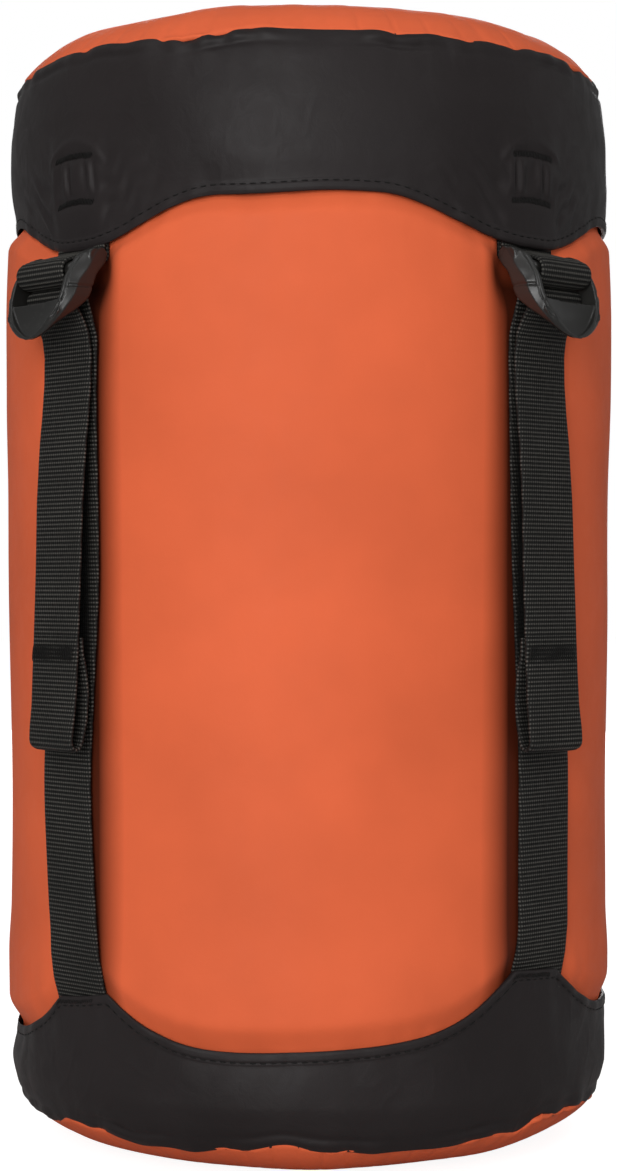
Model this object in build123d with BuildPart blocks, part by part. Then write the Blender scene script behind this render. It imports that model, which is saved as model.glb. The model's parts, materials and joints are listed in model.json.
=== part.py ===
from build123d import *
from math import asin, atan2, cos, hypot, radians, sin
import os

# Compression sack: a fabric cylinder standing on its base, squeezed between a base cup and a lid
# by four webbing straps with ladder-lock buckles. Millimetres, +Z up, origin at the centre of the
# flat ring the sack stands on, -Y is the front.

# --- driving dimensions -------------------------------------------------------------------------
sack_radius = 88.0          # outside of the base band, which sets the sack's diameter
sack_height = 321.0         # resting ring to the crown of the lid
fabric = 1.0                # coated nylon with its seam allowance
tube_fabric = 0.7           # the body tube's single layer
clearance = 0.4             # between fabric layers that slide on each other
webbing_width = 20.0
webbing_thickness = 1.3
tack_thickness = 0.4        # how thick a bar-tack's thread lies on the fabric
strap_azimuths = {"front_left": 225, "front_right": 315, "back_right": 45, "back_left": 135}

# --- heights of the seams and hems --------------------------------------------------------------
base_seam_z = 10.2
base_arch_z = 34.5          # lowest point of the base band's hem, midway between two straps
base_peak_z = 51.0          # top of the base band's hem, over each strap
lid_arch_z = 262.7          # highest point of the lid skirt's hem
lid_peak_z = 251.0          # lowest point of the lid skirt's hem, over each buckle
lid_seam_z = 305.5

# --- radii of the fabric layers, from the outside in --------------------------------------------
skirt_radius = sack_radius + 0.2
skirt_inner = skirt_radius - fabric
band_inner = sack_radius - 0.8
lower_bulge = sack_radius - 0.2
sleeve_outer = skirt_inner - 3.8        # the lower tube where it sleeves the upper one
sleeve_inner = sleeve_outer - tube_fabric
upper_outer = sleeve_inner - clearance
upper_inner = upper_outer - tube_fabric

# --- heights inside the sack --------------------------------------------------------------------
compress_travel = (-110.0, 45.0)    # of the mouth and lid along the axis, from this filled state
lower_tube_top = lid_seam_z + compress_travel[0] - 3.5      # clears the lid when fully compressed
upper_tube_bottom = lower_tube_top - compress_travel[1] - 17.0     # still sleeved when fully open
shoulder_z = 285.0
mouth_z = 295.5             # top of the gathered fabric that closes the mouth
cord_z = 303.0
mouth_radius = 24.0         # radius of the drawn-up mouth, to the middle of the cord channel
cord_radius = 1.5

# --- ladder-lock buckle, in (radius, height) ----------------------------------------------------
top_bar = (97.0, 243.5)
top_bar_radius = 2.2
grip_bar = (97.0, 236.6)
grip_bar_radius = 1.6
wrap_gap = 0.15             # webbing to bar
buckle_inner_width = 21.2
buckle_wall = 3.4

# --- straps -------------------------------------------------------------------------------------
run_radius = 89.8           # middle of the strap that runs up the body
tail_radius = 93.8          # middle of the loose end that hangs in front of it
strap_foot_radius = 85.65   # middle of the strap where it is sewn under the base band
strap_foot_z = 28.0         # lower end of the strap, inside the base band
tail_end_z = 146.0
pull_loop_bottom_z = 114.5
pull_tack_z = 141.5
half_web = webbing_thickness / 2


def radial_plane(azimuth):
    """The upright plane through the axis at an azimuth: local x is the radius, local y is up."""
    angle = radians(azimuth)
    outward = (cos(angle), sin(angle), 0)
    sideways = (sin(angle), -cos(angle), 0)
    return Plane(origin=(0, 0, 0), x_dir=outward, z_dir=sideways)


def tangent_point(start, centre, radius, side):
    """Where a line from start touches a circle; side is 1 for the left of the line, -1 for its right."""
    dx = centre[0] - start[0]
    dz = centre[1] - start[1]
    distance = hypot(dx, dz)
    direction = atan2(dz, dx) + side * asin(radius / distance)
    length = (distance**2 - radius**2) ** 0.5
    return (start[0] + length * cos(direction), start[1] + length * sin(direction))


def on_circle(centre, radius, angle):
    """The point of a circle at an angle in degrees."""
    return (centre[0] + radius * cos(radians(angle)), centre[1] + radius * sin(radians(angle)))


def hem_circle(arch_z, peak_z, half_chord):
    """Height of the centre and radius of the circle that cuts one arch of a wavy hem."""
    rise = abs(peak_z - arch_z)
    radius = (half_chord**2 + rise**2) / (2 * rise)
    centre_z = arch_z + radius if peak_z > arch_z else arch_z - radius
    return centre_z, radius


# === base: disc, band, handle and strap anchors ===================================================

# The base disc is drawn up in the middle, so the sack stands on a flat ring.
disc_recess = 3.2
rest_ring = (51.0, 60.0)
disc_rim = (82.6, 9.8)
with BuildPart() as base_disc:
    with BuildSketch(Plane.XZ):
        with BuildLine():
            Polyline((0, disc_recess), (46, disc_recess), (rest_ring[0], 0), (rest_ring[1], 0))
            ThreePointArc((rest_ring[1], 0), (73.5, 3.6), disc_rim)
            Line(disc_rim, (disc_rim[0] - 0.7, disc_rim[1] + 0.8))
            ThreePointArc(
                (disc_rim[0] - 0.7, disc_rim[1] + 0.8),
                (73.0, 4.6),
                (rest_ring[1], fabric),
            )
            Polyline(
                (rest_ring[1], fabric),
                (rest_ring[0] + 0.5, fabric),
                (46.4, disc_recess + fabric),
                (0, disc_recess + fabric),
                (0, disc_recess),
            )
        make_face()
    revolve(axis=Axis.Z)
base_disc.part.label = "base_disc"

# The base band is one ring of fabric with four flat-topped peaks, one over the foot of each strap.
band_straight_z = 26.0      # above this the band is upright
base_hem_half_chord = 54.0  # from an arch's middle to where its hem meets the flat peak
base_hem_z, base_hem_radius = hem_circle(base_arch_z, base_peak_z, base_hem_half_chord)
with BuildPart() as base_band:
    with BuildSketch(Plane.XZ):
        with BuildLine():
            ThreePointArc((83.9, base_seam_z), (86.9, 16.6), (sack_radius, band_straight_z))
            Polyline(
                (sack_radius, band_straight_z),
                (sack_radius, base_peak_z),
                (band_inner, base_peak_z),
                (band_inner, band_straight_z),
            )
            ThreePointArc((band_inner, band_straight_z), (86.1, 17.0), (83.2, base_seam_z + 0.6))
            Line((83.2, base_seam_z + 0.6), (83.9, base_seam_z))
        make_face()
    revolve(axis=Axis.Z)
    for plane in (Plane.XZ, Plane.YZ):
        with BuildSketch(plane):
            with Locations((0, base_hem_z)):
                Circle(base_hem_radius)
        extrude(amount=2 * sack_radius, both=True, mode=Mode.SUBTRACT)
base_band.part.label = "base_band"

# A webbing handle lies in the drawn-up middle of the base.
handle_reach = 40.0
handle_tack_width = 5.0
with BuildPart() as base_handle:
    with BuildSketch(Plane.XZ):
        with BuildLine() as handle_line:
            ThreePointArc((-handle_reach, 2.4), (0, 1.2), (handle_reach, 2.4))
        trace(line_width=1.2)
    extrude(amount=webbing_width / 2, both=True)
base_handle.part.label = "base_handle"

with BuildPart() as handle_tacks:
    with Locations((-handle_reach + 3, 0, 1.1), (handle_reach - 3, 0, 1.1)):
        Box(handle_tack_width, webbing_width - 2, tack_thickness)
handle_tacks.part.label = "handle_tacks"

# A bar-tack through the base band holds the foot of each strap.
anchor_tack_z = 42.0
with BuildPart() as anchor_tacks:
    for azimuth in strap_azimuths.values():
        with BuildSketch(radial_plane(azimuth)):
            with Locations((sack_radius + 0.3, anchor_tack_z)):
                Rectangle(tack_thickness, 2.0)
        extrude(amount=webbing_width / 2 - 1, both=True)
anchor_tacks.part.label = "anchor_tacks"

# === body: one fabric tube that crumples, held here as two sleeves =================================

with BuildPart() as body_lower:
    with BuildSketch(Plane.XZ):
        with BuildLine():
            Polyline(
                (81.2, 12.6),
                (84.4, 20),
                (84.4, 60),
                (lower_bulge, 70),
                (lower_bulge, 122),
                (sleeve_outer, 130),
                (sleeve_outer, lower_tube_top),
                (sleeve_inner, lower_tube_top),
                (sleeve_inner, 129.6),
                (lower_bulge - fabric, 121.6),
                (lower_bulge - fabric, 70.4),
                (83.6, 60.4),
                (83.6, 20.2),
                (80.6, 13.2),
                close=True,
            )
        make_face()
    revolve(axis=Axis.Z)
body_lower.part.label = "body_lower"

mouth_floor = mouth_z - tube_fabric
with BuildPart() as body_upper:
    with BuildSketch(Plane.XZ):
        with BuildLine():
            Line((upper_outer, upper_tube_bottom), (upper_outer, shoulder_z))
            ThreePointArc((upper_outer, shoulder_z), (79.2, 292.4), (71, mouth_z))
            Polyline((71, mouth_z), (29, mouth_z), (29, mouth_floor), (71, mouth_floor))
            ThreePointArc((71, mouth_floor), (78.6, 291.9), (upper_inner, shoulder_z))
            Polyline(
                (upper_inner, shoulder_z),
                (upper_inner, upper_tube_bottom),
                (upper_outer, upper_tube_bottom),
            )
        make_face()
    revolve(axis=Axis.Z)
body_upper.part.label = "body_upper"

# === mouth: drawcord channel, cord and cord lock ==================================================

channel_height = 9.0
channel_width = 7.2
with BuildPart() as mouth_collar:
    with BuildSketch(Plane.XZ):
        with Locations((mouth_radius, cord_z)):
            RectangleRounded(channel_width, channel_height, 3.2)
            RectangleRounded(channel_width - 2, channel_height - 2, 2.2, mode=Mode.SUBTRACT)
        # the channel's foot carries it down to the gathered fabric
        with Locations((mouth_radius + 4.1, cord_z - 4.4)):
            Rectangle(1.2, 8.8)
    revolve(axis=Axis.Z)
    with BuildSketch(Plane.YZ):
        with Locations((0, cord_z)):
            SlotOverall(12.0, 4.4)
    extrude(amount=2 * mouth_radius, mode=Mode.SUBTRACT)
mouth_collar.part.label = "mouth_collar"

# The cord rings the mouth and both its ends leave along +X, through the lock, to a knot.
cord_spread = 2.0           # each strand's distance from the X axis
cord_exit = 30.0
knot_x = 66.0
ring_angle = 17.6
ring_start = on_circle((0, 0), mouth_radius, ring_angle)
with BuildPart() as drawcord:
    with BuildLine() as cord_path:
        Line((knot_x, cord_spread, cord_z), (cord_exit, cord_spread, cord_z))
        TangentArc(
            (cord_exit, cord_spread, cord_z), (*ring_start, cord_z), tangent=(-1, 0, 0)
        )
        ThreePointArc(
            (*ring_start, cord_z), (0, mouth_radius, cord_z), (-mouth_radius, 0, cord_z)
        )
    with BuildSketch(Plane(origin=(knot_x, cord_spread, cord_z), z_dir=(-1, 0, 0))):
        Circle(cord_radius)
    sweep(path=cord_path.wires()[0])
    mirror(about=Plane.XZ)
    with Locations((knot_x, 0, cord_z)):
        Sphere(4.2)
drawcord.part.label = "drawcord"

# The lock is a barrel across the cord, with a sprung plunger that pinches both strands.
lock_x = 37.0
lock_radius = 5.7
lock_span = (-7.0, 12.0)
bore_radius = 4.25
bore_end = 11.0
stem_span = (-11.0, 6.0)
plunger_travel = 3.5
cord_window = (2 * (cord_spread + cord_radius) + 0.8, 2 * cord_radius + 0.6)
lock_plane = Plane(origin=(lock_x, 0, cord_z), x_dir=(1, 0, 0), z_dir=(0, 1, 0))
with BuildPart() as cord_lock_body:
    with BuildSketch(lock_plane.offset(lock_span[0])):
        Circle(lock_radius)
    extrude(amount=lock_span[1] - lock_span[0])
    fillet(cord_lock_body.faces().sort_by(Axis.Y)[-1].edges(), 1.2)
    with BuildSketch(lock_plane.offset(lock_span[0])):
        Circle(bore_radius)
    extrude(amount=bore_end - lock_span[0], mode=Mode.SUBTRACT)
    with BuildSketch(Plane.YZ):
        with Locations((0, cord_z)):
            RectangleRounded(*cord_window, 1.7)
    extrude(amount=2 * lock_x, mode=Mode.SUBTRACT)
cord_lock_body.part.label = "cord_lock_body"

with BuildPart() as cord_lock_plunger:
    with BuildSketch(lock_plane.offset(stem_span[0])):
        Circle(bore_radius - 0.2)
    extrude(amount=stem_span[1] - stem_span[0])
    with BuildSketch(lock_plane.offset(stem_span[0] - 3.0)):
        Circle(lock_radius - 0.4)
    extrude(amount=3.0)
    fillet(cord_lock_plunger.faces().sort_by(Axis.Y)[0].edges(), 1.0)
    with BuildSketch(Plane.YZ):
        with Locations((-plunger_travel / 2, cord_z)):
            RectangleRounded(cord_window[0] + plunger_travel, cord_window[1], 1.7)
    extrude(amount=2 * lock_x, mode=Mode.SUBTRACT)
cord_lock_plunger.part.label = "cord_lock_plunger"

spring_radius = 2.8
spring_wire = 0.35
spring_length = bore_end - stem_span[1] - 1.0
with BuildPart() as cord_lock_spring:
    with BuildLine() as coil:
        Helix(
            pitch=1.3,
            height=spring_length,
            radius=spring_radius,
            center=(lock_x, stem_span[1] + 0.5, cord_z),
            direction=(0, 1, 0),
        )
    with BuildSketch(Plane(origin=coil.line @ 0, z_dir=coil.line % 0)):
        Circle(spring_wire)
    sweep(path=coil.line, is_frenet=True)
cord_lock_spring.part.label = "cord_lock_spring"

# === lid: domed disc, skirt and the stitching of the buckle loops =================================

lid_rim = (84.3, 306.2)
lid_shoulder = (68.0, 316.4)
lid_inner_shoulder = (lid_shoulder[0] - 0.2, lid_shoulder[1] - fabric)
with BuildPart() as lid_disc:
    with BuildSketch(Plane.XZ):
        with BuildLine():
            TangentArc((0, sack_height), lid_shoulder, tangent=(1, 0))
            ThreePointArc(lid_shoulder, (78.0, 312.4), lid_rim)
            Line(lid_rim, (lid_rim[0] - 0.8, lid_rim[1] - 0.6))
            ThreePointArc((lid_rim[0] - 0.8, lid_rim[1] - 0.6), (77.4, 311.6), lid_inner_shoulder)
            TangentArc((0, sack_height - fabric), lid_inner_shoulder, tangent=(1, 0))
            Line((0, sack_height - fabric), (0, sack_height))
        make_face()
    revolve(axis=Axis.Z)
lid_disc.part.label = "lid_disc"

skirt_straight_z = 290.0    # below this the skirt is upright
lid_hem_half_chord = 52.0
lid_hem_z, lid_hem_radius = hem_circle(lid_arch_z, lid_peak_z, lid_hem_half_chord)
with BuildPart() as lid_skirt:
    with BuildSketch(Plane.XZ):
        with BuildLine():
            ThreePointArc((84.9, lid_seam_z), (87.3, 298.4), (skirt_radius, skirt_straight_z))
            Polyline(
                (skirt_radius, skirt_straight_z),
                (skirt_radius, lid_peak_z),
                (skirt_inner, lid_peak_z),
                (skirt_inner, skirt_straight_z),
            )
            ThreePointArc((skirt_inner, skirt_straight_z), (86.3, 298.0), (84.1, lid_seam_z - 0.6))
            Line((84.1, lid_seam_z - 0.6), (84.9, lid_seam_z))
        make_face()
    revolve(axis=Axis.Z)
    for plane in (Plane.XZ, Plane.YZ):
        with BuildSketch(plane):
            with Locations((0, lid_hem_z)):
                Circle(lid_hem_radius)
        extrude(amount=2 * sack_radius, both=True, mode=Mode.SUBTRACT)
lid_skirt.part.label = "lid_skirt"

# Two bar-tacks through the skirt hold each buckle loop.
loop_tack_heights = (264.0, 276.0)
with BuildPart() as loop_tacks:
    for azimuth in strap_azimuths.values():
        with BuildSketch(radial_plane(azimuth)):
            with Locations(*((skirt_radius + 0.3, height) for height in loop_tack_heights)):
                Rectangle(tack_thickness, 1.8)
        extrude(amount=webbing_width / 2 - 2, both=True)
loop_tacks.part.label = "loop_tacks"

pieces = [
    base_disc,
    base_band,
    base_handle,
    handle_tacks,
    anchor_tacks,
    body_lower,
    body_upper,
    mouth_collar,
    drawcord,
    cord_lock_body,
    cord_lock_plunger,
    cord_lock_spring,
    lid_disc,
    lid_skirt,
    loop_tacks,
]

# === one strap set at each of the four azimuths ===================================================

# The loop's two layers lie one on the other inside the skirt and part to go round the top bar.
loop_top_z = 290.0
loop_inner_radius = upper_outer + 2.15
loop_outer_radius = loop_inner_radius + webbing_thickness + 0.1
loop_wrap = top_bar_radius + wrap_gap + half_web
loop_inner_turn = (loop_inner_radius, 248.0)
loop_outer_turn = (loop_outer_radius, 250.0)
loop_under = tangent_point(loop_inner_turn, top_bar, loop_wrap, -1)
loop_over = tangent_point(loop_outer_turn, top_bar, loop_wrap, 1)

# The strap rises behind the buckle, goes over the grip bar and returns in front as the tail.
grip_wrap = grip_bar_radius + wrap_gap + half_web
run_turn = (91.3, 231.0)
run_top = (run_radius, 221.0)
grip_in = tangent_point(run_turn, grip_bar, grip_wrap, 1)
grip_out = on_circle(grip_bar, grip_wrap, -2)
tail_turn = (tail_radius + 0.6, 227.0)
tail_start = on_circle(grip_bar, grip_wrap, -17)
tail_leave = tangent_point(tail_turn, grip_bar, grip_wrap, -1)

wall_outline = [
    (87.6, 247.4),
    (91.4, 250.4),
    (95.2, 249.6),
    (99.0, 245.0),
    (101.2, 239.6),
    (103.0, 234.0),
    (104.4, 227.8),
    (103.4, 225.8),
    (98.0, 232.6),
    (94.0, 236.0),
    (91.4, 242.0),
]
lip_outline = [(100.3, 236.0), (101.8, 236.4), (103.0, 231.8), (104.0, 226.8), (103.0, 225.6), (101.0, 228.4)]

for name, azimuth in strap_azimuths.items():
    upright = radial_plane(azimuth)

    with BuildPart() as buckle_loop:
        with BuildSketch(upright):
            with BuildLine():
                FilletPolyline((loop_inner_radius, loop_top_z), loop_inner_turn, loop_under, radius=2)
                ThreePointArc(loop_under, on_circle(top_bar, loop_wrap, -16), loop_over)
                FilletPolyline(loop_over, loop_outer_turn, (loop_outer_radius, loop_top_z), radius=2)
            trace(line_width=webbing_thickness)
        extrude(amount=webbing_width / 2, both=True)
    buckle_loop.part.label = "buckle_loop_" + name

    with BuildPart() as buckle:
        for side in (-1, 1):
            with BuildSketch(upright.offset(side * buckle_inner_width / 2)) as wall:
                with BuildLine():
                    Polyline(*wall_outline, close=True)
                make_face()
                fillet(wall.vertices(), 0.8)
            extrude(amount=side * buckle_wall)
        with BuildSketch(upright):
            with Locations(top_bar):
                Circle(top_bar_radius)
            with Locations(grip_bar):
                Circle(grip_bar_radius)
            with BuildLine():
                Polyline(*lip_outline, close=True)
            make_face()
        extrude(amount=buckle_inner_width / 2 + 0.5, both=True)
    buckle.part.label = "buckle_" + name

    with BuildPart() as strap:
        with BuildSketch(upright):
            with BuildLine():
                FilletPolyline(
                    (strap_foot_radius, strap_foot_z),
                    (strap_foot_radius, 57),
                    (run_radius, 68),
                    run_top,
                    run_turn,
                    grip_in,
                    radius=4,
                )
                ThreePointArc(grip_in, on_circle(grip_bar, grip_wrap, 60), grip_out)
            trace(line_width=webbing_thickness)
        extrude(amount=webbing_width / 2, both=True)
    strap.part.label = "strap_" + name

    with BuildPart() as strap_tail:
        with BuildSketch(upright):
            with BuildLine():
                ThreePointArc(tail_start, on_circle(grip_bar, grip_wrap, -23), tail_leave)
                FilletPolyline(tail_leave, tail_turn, (tail_radius, 221), (tail_radius, tail_end_z), radius=3)
            trace(line_width=webbing_thickness)
        extrude(amount=webbing_width / 2, both=True)
    strap_tail.part.label = "strap_tail_" + name

    # The end of the tail is folded back on itself and tacked, which leaves an open pull loop.
    loop_fold = pull_loop_bottom_z + half_web
    with BuildPart() as pull_loop:
        with BuildSketch(upright):
            with BuildLine():
                FilletPolyline(
                    (tail_radius, tail_end_z - 0.3),
                    (tail_radius, 138),
                    (tail_radius - 1.6, 126),
                    (tail_radius - 0.4, loop_fold),
                    (tail_radius + 3.6, loop_fold),
                    (tail_radius + 4.2, 124),
                    (tail_radius + 1.5, 138),
                    (tail_radius + 1.5, tail_end_z - 1.5),
                    radius=(6, 4, 1.4, 1.4, 4, 6),
                )
            trace(line_width=webbing_thickness)
        extrude(amount=webbing_width / 2, both=True)
    pull_loop.part.label = "pull_loop_" + name

    with BuildPart() as pull_tack:
        with BuildSketch(upright):
            with Locations((tail_radius + 1.5 + half_web + 0.3, pull_tack_z)):
                Rectangle(tack_thickness, 2.4)
        extrude(amount=webbing_width / 2 - 1, both=True)
    pull_tack.part.label = "pull_tack_" + name

    pieces += [buckle_loop, buckle, strap, strap_tail, pull_loop, pull_tack]

os.makedirs("parts", exist_ok=True)
for piece in pieces:
    export_step(piece.part, f"parts/{piece.part.label}.step")
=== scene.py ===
"""Looks of a compression sack: fabric, webbing and buckles over the frame, and a studio."""
import json
import math
import random

import bmesh
import bpy
import numpy as np
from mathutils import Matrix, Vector


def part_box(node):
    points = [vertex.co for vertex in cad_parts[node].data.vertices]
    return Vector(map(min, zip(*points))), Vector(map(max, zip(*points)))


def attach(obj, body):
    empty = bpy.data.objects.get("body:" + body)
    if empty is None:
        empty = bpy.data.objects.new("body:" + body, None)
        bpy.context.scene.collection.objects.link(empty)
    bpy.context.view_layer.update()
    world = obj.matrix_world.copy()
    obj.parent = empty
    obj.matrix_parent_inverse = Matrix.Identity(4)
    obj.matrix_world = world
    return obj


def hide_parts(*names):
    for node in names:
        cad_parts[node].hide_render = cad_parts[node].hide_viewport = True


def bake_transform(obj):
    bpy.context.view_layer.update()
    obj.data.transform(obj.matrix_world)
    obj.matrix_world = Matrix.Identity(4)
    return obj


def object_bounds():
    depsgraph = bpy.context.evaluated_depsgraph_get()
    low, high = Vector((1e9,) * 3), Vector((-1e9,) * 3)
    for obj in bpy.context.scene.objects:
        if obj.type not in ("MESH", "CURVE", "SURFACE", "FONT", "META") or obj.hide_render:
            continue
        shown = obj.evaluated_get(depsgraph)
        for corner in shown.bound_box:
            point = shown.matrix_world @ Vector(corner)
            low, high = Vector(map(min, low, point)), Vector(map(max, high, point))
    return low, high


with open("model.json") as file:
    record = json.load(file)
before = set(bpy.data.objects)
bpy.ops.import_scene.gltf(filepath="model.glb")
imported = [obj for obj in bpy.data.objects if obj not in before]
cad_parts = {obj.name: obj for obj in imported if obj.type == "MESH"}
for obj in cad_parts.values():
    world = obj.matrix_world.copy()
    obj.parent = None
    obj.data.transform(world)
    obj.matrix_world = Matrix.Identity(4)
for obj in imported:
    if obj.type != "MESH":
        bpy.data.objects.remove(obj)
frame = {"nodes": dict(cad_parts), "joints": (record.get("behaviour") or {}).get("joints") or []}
cad_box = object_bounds()

MM = 0.001

# --- Sizes from the frame, in millimetres. +Z up, -Y front, azimuth in degrees from +X. ---
STRAP_AZIMUTHS = {"front_left": 225, "front_right": 315, "back_right": 45, "back_left": 135}


def box_mm(node):
    low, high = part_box(node)
    return low / MM, high / MM


def hinge_mm(name):
    """Radius and height of a buckle's hinge axis."""
    joint = next(j for j in frame["joints"] if j["name"] == name)
    x, y, z = joint["pos_m"]
    return math.hypot(x, y) / MM, z / MM


HEIGHT = cad_box[1].z / MM
SACK_R = box_mm("base_band")[1].x
BASE_SEAM, BASE_PEAK = box_mm("base_band")[0].z, box_mm("base_band")[1].z
LID_PEAK, LID_SEAM = box_mm("lid_skirt")[0].z, box_mm("lid_skirt")[1].z
BAR = hinge_mm("buckle_tilt_front_left")
GRIP = (BAR[0] - 2.6, BAR[1] - 6.5)
TAIL_END = box_mm("strap_tail_front_left")[0].z
LOOP_BOTTOM = box_mm("pull_loop_front_left")[0].z
WEB_WIDTH = 20.0
WEB_THICK = 1.35
RIB_PITCH = 1.12
RIB_STEP = RIB_PITCH / 5
GROOVE_R = 87.3      # the body's radius under a strap, which presses it in
LID_ARCH_RISE = 11.7
TACKS_UP = (13.0, 25.5)     # how far a buckle loop's two tacks are above the skirt's low points
PULL_TACK_Z = 141.2
TOP_BAR_R, GRIP_BAR_R = 2.2, 1.6
SHOULDER_Z, MOUTH_Z = 284.0, 295.0      # where the body turns in, and its gathered top
WEAVE_PITCH, YARN_PITCH = 0.42, 0.86


# --- Numbers: smooth steps, seeded ripples and outlines ---
def smooth(x):
    x = np.clip(x, 0.0, 1.0)
    return x * x * (3 - 2 * x)


def bell(x, width, power=2):
    """1 at an x of 0, dying away on both sides."""
    return np.exp(-(np.abs(x / width) ** power))


def fading(distance, reach):
    """1 up to a distance of 0, then dying away."""
    return np.exp(-np.clip(distance, 0, None) / reach)


def curve(points, at):
    """A smooth curve through (x, y) points, sampled at x values (monotone cubic)."""
    xs = np.array([p[0] for p in points], float)
    ys = np.array([p[1] for p in points], float)
    steps = np.diff(xs)
    slopes = np.diff(ys) / steps
    tangents = np.zeros_like(ys)
    tangents[0], tangents[-1] = slopes[0], slopes[-1]
    for i in range(1, len(xs) - 1):
        if slopes[i - 1] * slopes[i] > 0:
            tangents[i] = 2 * slopes[i - 1] * slopes[i] / (slopes[i - 1] + slopes[i])
    at = np.clip(np.asarray(at, float), xs[0], xs[-1])
    k = np.clip(np.searchsorted(xs, at) - 1, 0, len(xs) - 2)
    h = steps[k]
    t = (at - xs[k]) / h
    a = (1 + 2 * t) * (1 - t) ** 2
    b = t * (1 - t) ** 2
    c = t * t * (3 - 2 * t)
    d = t * t * (t - 1)
    return a * ys[k] + b * h * tangents[k] + c * ys[k + 1] + d * h * tangents[k + 1]


def ripples(azimuth, height, wave_round, wave_up, seed, count=14):
    """A seeded field of soft ripples on the cylinder, about -1 to 1, with these wavelengths in mm.

    With a height of 0 it is a wavy line round the sack.
    """
    draw = random.Random(seed)
    total = np.zeros(np.broadcast(azimuth, height).shape)
    for _ in range(count):
        turns = round(2 * math.pi * SACK_R / (wave_round * draw.uniform(0.7, 1.6)))
        climb = 2 * math.pi / (wave_up * draw.uniform(0.7, 1.6)) * draw.choice((-1, 1))
        total = total + np.sin(np.radians(azimuth) * turns + height * climb + draw.uniform(0, 6.28))
    return total / math.sqrt(count / 2) / 1.6


def creases(field):
    """Sharp-edged folds made from a ripple field: 1 along a crease, 0 away from it."""
    return np.clip(1 - np.abs(field) * 2.2, 0, 1) ** 2


def from_arch(azimuth):
    """Degrees from the middle of the nearest arch: 0 midway between two straps, 45 over a strap."""
    return np.abs((np.asarray(azimuth) + 45) % 90 - 45)


def across_strap(azimuth, radius):
    """Signed millimetres round the sack from the nearest strap's centre line."""
    return np.radians((np.asarray(azimuth) % 90) - 45) * radius


def lid_hem(azimuth):
    """Height of the skirt's wavy hem: arches between the buckles, a flat peak over each."""
    drop = smooth((from_arch(azimuth) - 14) / 29)
    wobble = 0.35 * ripples(azimuth, 0, 46, 50, 11)
    return LID_PEAK + LID_ARCH_RISE * (1 - drop) + wobble


def base_hem(azimuth):
    """Height of the base band's hem: slack arches that end in corners at four flat peaks."""
    a = np.radians(azimuth)
    arch = BASE_PEAK - 15.0 + 3.9 * np.cos(a) - 1.2 * np.sin(a)
    outwards = np.clip(np.abs(np.asarray(azimuth) % 180 - 90) - 45, -9, 9)
    peak = BASE_PEAK - 0.2 + 5.2 * np.cos(a) - 0.9 * np.sin(a) - (0.13 + 0.04 * np.cos(a)) * outwards
    rise = np.clip((from_arch(azimuth - BASE_TURN) - 5) / 34, 0, 1) ** (3.1 + 0.5 * np.cos(2 * a))
    wobble = 0.35 * ripples(azimuth, 0, 50, 50, 12)
    return arch + (peak - arch) * rise + wobble


def lid_pinch(azimuth):
    """How much tighter the skirt's hem is drawn than its profile, in mm; more on the left."""
    return 0.9 - 0.8 * np.cos(np.radians(azimuth))


def base_pinch(azimuth):
    """How much tighter the base band's hem is drawn between the straps, in mm; more on the left."""
    return (0.8 - 0.8 * np.cos(np.radians(azimuth))) * (1 - smooth((from_arch(azimuth) - 16) / 16))


def lid_seam_wobble(azimuth):
    """How far the puckered lid seam strays up or down from level, in mm."""
    slow = 0.8 * ripples(azimuth, 0, 60, 50, 21)
    quick = 0.45 * ripples(azimuth, 0, 22, 50, 22)
    return slow + quick


def base_seam_wobble(azimuth):
    """The same for the base seam, with a step up near the front right strap."""
    slow = 0.7 * ripples(azimuth, 0, 70, 50, 23)
    quick = 0.45 * ripples(azimuth, 0, 20, 50, 24)
    around_it = np.asarray(azimuth) % 360
    step = 3.2 * smooth((around_it - 314) / 5) * smooth((358 - around_it) / 26)
    return slow + quick + step


# The free shape of the filled sack: radius at each height.
BODY_PROFILE = [
    (12, 88.4), (34, 88.5), (52, 88.7), (67, 88.0), (96, 87.8), (126, 88.2), (155, 88.6),
    (185, 88.9), (214, 89.5), (236, 89.5), (262, 88.9),
]
SKIRT_PROFILE = [
    (245, 87.4), (258, 87.6), (265, 87.8), (274, 88.3), (287, 88.1), (295, 87.3), (300, 86.6),
    (305.5, 84.9), (308, 83.3), (311, 80.6),
]
BAND_PROFILE = [
    (6, 79.0), (8, 81.5), (10.2, 83.4), (13, 85.2), (17, 86.7), (22.8, 87.7), (30, 87.6), (40, 87.5),
    (60, 87.6),
]
LID_DOME = [
    (0, HEIGHT), (20, HEIGHT - 0.4), (40, HEIGHT - 1.6), (55, HEIGHT - 2.7), (65, HEIGHT - 4.0),
    (70, HEIGHT - 5.2), (75, HEIGHT - 7.0), (80, HEIGHT - 10.2), (83, HEIGHT - 13.2), (85, HEIGHT - 15.8),
]
BASE_DOME = [
    (0, 3.2), (44, 3.2), (47, 2.2), (51, 0.2), (55, 0.0), (60, 0.4), (65, 1.3), (70, 2.6), (75, 4.5),
    (80, 7.4), (83, 10.0), (85, 12.6),
]


# --- Meshes ---
def in_scene(name, data):
    thing = bpy.data.objects.new(name, data)
    bpy.context.scene.collection.objects.link(thing)
    return thing


def make_mesh(name, vertices, faces, material=None):
    mesh = bpy.data.meshes.new(name)
    mesh.from_pydata([tuple(v) for v in vertices], [], [tuple(f) for f in faces])
    mesh.polygons.foreach_set("use_smooth", [True] * len(mesh.polygons))
    if material:
        mesh.materials.append(material)
    mesh.update()
    return in_scene(name, mesh)


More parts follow.
